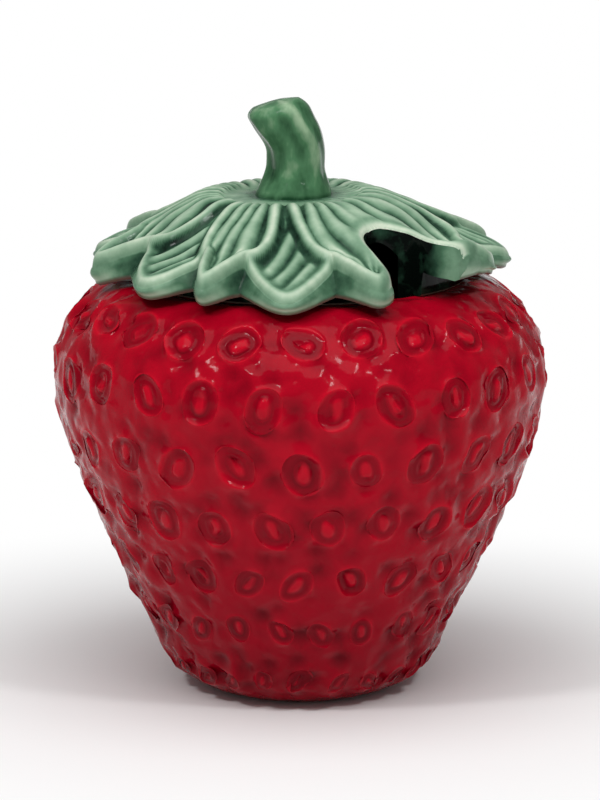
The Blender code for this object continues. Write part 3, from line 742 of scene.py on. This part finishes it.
def cutNotch(obj):  # the ladle's way through the edge, with painted shade on its walls
    bm = bmesh.new()
    verts = [bm.verts.new((px, py, lid["seat"] - 20 * mm)) for px, py in notchLine]
    edges = [bm.edges.new(pair) for pair in zip(verts, verts[1:] + verts[:1])]
    floor = bmesh.ops.contextual_create(bm, geom=edges)["faces"]
    grown = bmesh.ops.extrude_face_region(bm, geom=floor, use_keep_orig=True)["geom"]
    upper = [item for item in grown if isinstance(item, bmesh.types.BMVert)]
    bmesh.ops.translate(bm, vec=(0.0, 0.0, 70 * mm), verts=upper)
    bmesh.ops.recalc_face_normals(bm, faces=bm.faces)
    cutter = newObject("notchCutter", bm)
    cut = obj.modifiers.new("notch", "BOOLEAN")
    cut.operation = "DIFFERENCE"
    cut.solver = "EXACT"
    cut.object = cutter
    applyModifiers(obj)
    bpy.data.objects.remove(cutter, do_unlink=True)

    mesh = obj.data
    coords = getCoords(mesh)
    glaze = getLayer(mesh, "glaze")
    clay = getLayer(mesh, "clay")
    # painted shade on the notch's walls, darkest towards the middle and lighter towards the rim
    notchShade = 1.0 - 0.4 * ease((np.hypot(coords[:, 0], coords[:, 1]) - 72 * mm) / (13 * mm))
    setLayer(mesh, "clay", np.where(np.abs(notchGap(coords[:, 0], coords[:, 1])) < 0.15 * mm, 0.0, clay))

    middles, normals = np.zeros((2, 3 * len(mesh.polygons)), dtype=np.float32)
    mesh.polygons.foreach_get("center", middles)
    mesh.polygons.foreach_get("normal", normals)
    middles = middles.reshape(-1, 3).astype(float)
    upright = np.abs(normals[2::3]) < 0.4
    wall = upright & (np.abs(notchGap(middles[:, 0], middles[:, 1])) < 0.2 * mm)
    corners = np.zeros(len(mesh.loops), dtype=np.int32)
    mesh.loops.foreach_get("vertex_index", corners)
    counts = np.zeros(len(mesh.polygons), dtype=np.int32)
    mesh.polygons.foreach_get("loop_total", counts)
    byCorner = np.where(np.repeat(wall, counts), notchShade[corners], glaze[corners])
    mesh.attributes.remove(mesh.attributes["glaze"])  # by corner instead, so that the walls end at the lip
    layer = mesh.attributes.new("glaze", "FLOAT", "CORNER")
    layer.data.foreach_set("value", byCorner.astype(np.float32))


# stem: the knob, a bent fluted stalk with a slanted end

stem = {
    "base": 211.3 * mm,
    "height": 41.5 * mm,
    "foot": 16.3 * mm,
    "waist": 12.0 * mm,
    "top": 13.3 * mm,
    "offset": 2.8 * mm,
    "sway": 1.8 * mm,
    "bend": 6.2 * mm,
    "tilt": 13,
    "heading": 144.5,
    "endShare": 0.13,
    "endDraw": 0.24,
    "flutes": (5, 0.6 * mm),
    "sides": 96,
    "rings": 70,
    "endRings": 7,  # rings that close the slanted end
}


def makeStem():
    bm = bmesh.new()
    bmesh.ops.create_cone(bm, cap_ends=True, segments=stem["sides"], radius1=1.0, radius2=1.0, depth=1.0)
    uprights = [edge for edge in bm.edges if abs(edge.verts[0].co.z - edge.verts[1].co.z) > 0.5]
    bmesh.ops.subdivide_edges(bm, edges=uprights, cuts=stem["rings"])
    end = [face for face in bm.faces if face.normal.z > 0.9]
    for _ in range(stem["endRings"]):
        bmesh.ops.inset_region(bm, faces=end, thickness=0.12)
    bmesh.ops.recalc_face_normals(bm, faces=bm.faces)
    obj = newObject("stemGlazed", bm)
    mesh = obj.data
    coords = getCoords(mesh)
    share = coords[:, 2] + 0.5
    unit = np.hypot(coords[:, 0], coords[:, 1])
    angle = np.arctan2(coords[:, 1], coords[:, 0])
    flare = (stem["foot"] - stem["waist"]) * (1 - ease((share + 0.05) / 0.38))
    swell = (stem["top"] - stem["waist"]) * ease((share - 0.48) / 0.27)
    close = np.clip((share - 1 + stem["endShare"]) / stem["endShare"], 0, None)
    base = (stem["waist"] + flare + swell) * (1 - stem["endDraw"] * close**2.2)
    twist = 0.5 * share
    flutes = np.cos(stem["flutes"][0] * (angle + twist)) + 0.6 * np.cos(3 * (angle - twist) + 1.0)
    flutes += 0.5 * np.cos(8 * angle + 3 * share)
    grow = ease(share / 0.3) * (1 - 0.5 * close**2)
    radius = (base + stem["flutes"][1] * flutes * grow) * unit
    bend = stem["offset"] - stem["sway"] * np.sin(np.pi * share / 0.8)
    bend += stem["bend"] * ease((share - 0.45) / 0.6)
    tilt = math.radians(stem["tilt"]) * share**3
    rise = stem["height"] - stem["top"] * math.sin(math.radians(stem["tilt"]))
    dome = np.where(share > 0.999, 1.2 * mm * (1 - unit**2), 0.0)
    along = radius * np.cos(angle) * np.cos(tilt) + bend
    across = radius * np.sin(angle)
    heading = math.radians(stem["heading"])
    x = along * math.cos(heading) - across * math.sin(heading)
    y = along * math.sin(heading) + across * math.cos(heading)
    z = stem["base"] + rise * share + dome - radius * np.cos(angle) * np.sin(tilt)
    setCoords(mesh, np.stack([x, y, z], axis=1))
    footEdge = 0.35 * ease(1 - share / 0.06)
    setLayer(mesh, "glaze", np.clip(0.55 - 0.2 * flutes * grow + footEdge - 0.15 * close * unit, 0, 1))
    mesh.shade_smooth()
    mesh.set_sharp_from_angle(angle=math.radians(60))
    print("stem", len(mesh.polygons), "faces")
    return obj


# finishes


# fired glaze on earthenware: wet gloss, deep where it pools, pale where it runs thin; its glaze attribute
# also carries painted shade and a painted highlight
def glazeMaterial(name, finish):
    material = bpy.data.materials.new(name)
    material.use_nodes = True
    tree = material.node_tree
    shader = tree.nodes["Principled BSDF"]
    place = addNode(tree, "ShaderNodeTexCoord").outputs["Object"]
    size, amount, stretch = finish["mottle"]
    drawn = addNode(tree, "ShaderNodeMapping", {"Vector": place, "Scale": (1.0, 1.0, 1.0 / stretch)})
    cloudSettings = {"Vector": drawn.outputs[0], "Scale": 1 / size, "Detail": 3.0, "Roughness": 0.55}
    cloud = addNode(tree, "ShaderNodeTexNoise", cloudSettings)
    # glaze depth, with painted shade and a painted highlight in places
    lay = addNode(tree, "ShaderNodeAttribute", attribute_name="glaze")
    centred = addNode(tree, "ShaderNodeMath", {0: cloud.outputs["Fac"], 1: 0.5}, operation="SUBTRACT")
    variedSettings = {0: centred.outputs[0], 1: amount, 2: lay.outputs["Fac"]}
    varied = addNode(tree, "ShaderNodeMath", variedSettings, operation="MULTIPLY_ADD")
    ramp = addNode(tree, "ShaderNodeValToRGB", {"Fac": varied.outputs[0]})
    while len(ramp.color_ramp.elements) < len(finish["stops"]):
        ramp.color_ramp.elements.new(0.5)
    for element, (position, colour) in zip(ramp.color_ramp.elements, finish["stops"]):
        element.position = position
        element.color = linearColour(colour)
    colour = ramp.outputs["Color"]
    if "clay" in finish:  # bare fired clay on the edges that stood in the kiln
        bare = addNode(tree, "ShaderNodeAttribute", attribute_name="clay").outputs["Fac"]
        mixSettings = {"Factor": bare, 6: colour, 7: linearColour(finish["clay"])}
        colour = addNode(tree, "ShaderNodeMix", mixSettings, data_type="RGBA").outputs[2]
        roughSettings = {"Value": bare, "To Min": finish["roughness"], "To Max": 0.6}
        rough = addNode(tree, "ShaderNodeMapRange", roughSettings)
        tree.links.new(rough.outputs[0], shader.inputs["Roughness"])
    else:
        shader.inputs["Roughness"].default_value = finish["roughness"]
    tree.links.new(colour, shader.inputs["Base Color"])
    size, depth = finish["ripple"]
    rippleSettings = {"Vector": place, "Scale": 1 / size, "Detail": 2.0, "Roughness": 0.5}
    ripple = addNode(tree, "ShaderNodeTexNoise", rippleSettings)
    bump = addNode(tree, "ShaderNodeBump", {"Height": ripple.outputs["Fac"], "Distance": depth})
    if "pitting" in finish:
        size, depth = finish["pitting"]
        cellSettings = {"Vector": place, "Scale": 1 / size}
        cell = addNode(tree, "ShaderNodeTexVoronoi", cellSettings, feature="SMOOTH_F1")
        under = bump.outputs["Normal"]
        bumpSettings = {"Height": cell.outputs["Distance"], "Distance": depth, "Normal": under}
        bump = addNode(tree, "ShaderNodeBump", bumpSettings)
    tree.links.new(bump.outputs["Normal"], shader.inputs["Normal"])
    shader.inputs["IOR"].default_value = 1.5
    shader.inputs["Specular IOR Level"].default_value = finish["specular"]
    return material


redFinish = {
    "stops": ((0.0, "#b80a22"), (0.35, "#9a031b"), (1.0, "#650110")),
    "mottle": (14 * mm, 0.3, 1.0),  # size, amount and upright stretch of the cloudy patches
    "ripple": (6 * mm, 0.25 * mm),
    "pitting": (7 * mm, 1.5 * mm),  # size and depth of small hollows in the flesh
    "roughness": 0.13,
    "specular": 0.08,
}
leafFinish = {
    "stops": (
        (0.0, "#d0dac6"),
        (0.25, "#9fb99f"),
        (0.5, "#74967b"),
        (0.72, "#44674f"),
        (0.88, "#213c2d"),
        # painted shade: the near-black end, taken by the notch's walls and the lid's underside
        (1.0, "#050b08"),
    ),
    "mottle": (8 * mm, 0.45, 1.0),
    "ripple": (4 * mm, 0.2 * mm),
    "clay": "#b79f8c",
    "roughness": 0.16,
    "specular": 0.09,
}
stemFinish = {
    "stops": ((0.0, "#9ab494"), (0.45, "#4f7c58"), (1.0, "#1b4027")),
    "mottle": (7 * mm, 1.3, 2.2),
    "ripple": (5 * mm, 0.3 * mm),
    "roughness": 0.16,
    "specular": 0.06,
}


def dress(obj, body, node, material):
    obj.data.materials.clear()
    obj.data.materials.append(material)
    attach(obj, body)
    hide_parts(node)


dress(makePot(), "pot", "pot", glazeMaterial("strawberry red glaze on earthenware", redFinish))
dress(makeLid(), "lid", "lid", glazeMaterial("leaf green glaze on earthenware", leafFinish))
dress(makeStem(), "lid", "stem", glazeMaterial("stem green glaze on earthenware", stemFinish))


# studio

studio = {
    "distance": 1.8,
    "azimuth": -35.5,
    "elevation": 12.0,
    "aim": 122.8 * mm,
    "lens": 190.67,
    "floor": "#f6f6f6",
    "world": 0.26,
    "whiteFrom": (0.11, 0.3),  # metres from the axis over which the paper turns white
    # name, size, turn from the camera, elevation, distance and radiance of the softboxes
    "lamps": (
        ("overhead panel", 1.5, 0, 70, 1.6, 2.4),
        ("left softbox", 0.2, -42, 46, 1.6, 45.0),
        ("right softbox", 0.2, 40, 46, 1.6, 38.0),
    ),
}


def wayFrom(azimuth, elevation):  # direction from the object to a place round it
    a, e = math.radians(azimuth), math.radians(elevation)
    return Vector((math.sin(a) * math.cos(e), -math.cos(a) * math.cos(e), math.sin(e)))


def paperMaterial():  # white paper sweep: plain where the shadow lies, blown to white around
    paper = bpy.data.materials.new("white paper sweep")
    paper.use_nodes = True
    tree = paper.node_tree
    shader = tree.nodes["Principled BSDF"]
    shader.inputs["Base Color"].default_value = linearColour(studio["floor"])
    shader.inputs["Roughness"].default_value = 0.9
    shader.inputs["Specular IOR Level"].default_value = 0.1
    place = addNode(tree, "ShaderNodeTexCoord").outputs["Object"]
    away = addNode(tree, "ShaderNodeVectorMath", {0: place}, operation="LENGTH")
    near, far = studio["whiteFrom"]
    fadeSettings = {"Value": away.outputs["Value"], "From Min": near, "From Max": far}
    fade = addNode(tree, "ShaderNodeMapRange", fadeSettings, interpolation_type="SMOOTHSTEP")
    ray = addNode(tree, "ShaderNodeLightPath").outputs
    seen = ray["Is Camera Ray"]
    for name in ("Is Glossy Ray", "Is Transmission Ray"):
        seen = addNode(tree, "ShaderNodeMath", {0: seen, 1: ray[name]}, operation="MAXIMUM").outputs[0]
    share = addNode(tree, "ShaderNodeMath", {0: seen, 1: fade.outputs[0]}, operation="MULTIPLY")
    white = addNode(tree, "ShaderNodeEmission", {"Color": linearColour("#ffffff"), "Strength": 1.0})
    mixSettings = {0: share.outputs[0], 1: shader.outputs[0], 2: white.outputs[0]}
    mix = addNode(tree, "ShaderNodeMixShader", mixSettings)
    tree.links.new(mix.outputs[0], tree.nodes["Material Output"].inputs["Surface"])
    return paper


def makeStudio():
    scene = bpy.context.scene
    scene.view_settings.view_transform = "Standard"
    bm = bmesh.new()
    bmesh.ops.create_grid(bm, x_segments=1, y_segments=1, size=8.0)
    floor = newObject("studioFloor", bm)
    floor.data.materials.append(paperMaterial())

    world = bpy.data.worlds.new("studio air")
    scene.world = world
    world.use_nodes = True
    background = world.node_tree.nodes["Background"]
    background.inputs["Color"].default_value = linearColour("#ffffff")
    background.inputs["Strength"].default_value = studio["world"]

    aim = Vector((0.0, 0.0, studio["aim"]))
    for name, size, turn, elevation, distance, radiance in studio["lamps"]:
        lamp = bpy.data.lights.new(name, "AREA")
        lamp.shape = "SQUARE"
        lamp.size = size
        lamp.energy = radiance * math.pi * size * size
        lampObj = bpy.data.objects.new(name, lamp)
        way = wayFrom(studio["azimuth"] + turn, elevation)
        lampObj.location = aim + way * distance
        lampObj.rotation_euler = way.to_track_quat("Z", "Y").to_euler()
        scene.collection.objects.link(lampObj)

    camera = bpy.data.cameras.new("photo camera")
    camera.lens = studio["lens"]
    camera.sensor_width = 36.0
    cameraObj = bpy.data.objects.new("photo camera", camera)
    back = wayFrom(studio["azimuth"], studio["elevation"])
    cameraObj.location = aim + back * studio["distance"]
    cameraObj.rotation_euler = back.to_track_quat("Z", "Y").to_euler()
    scene.collection.objects.link(cameraObj)
    scene.camera = cameraObj
    print("studio set")


makeStudio()
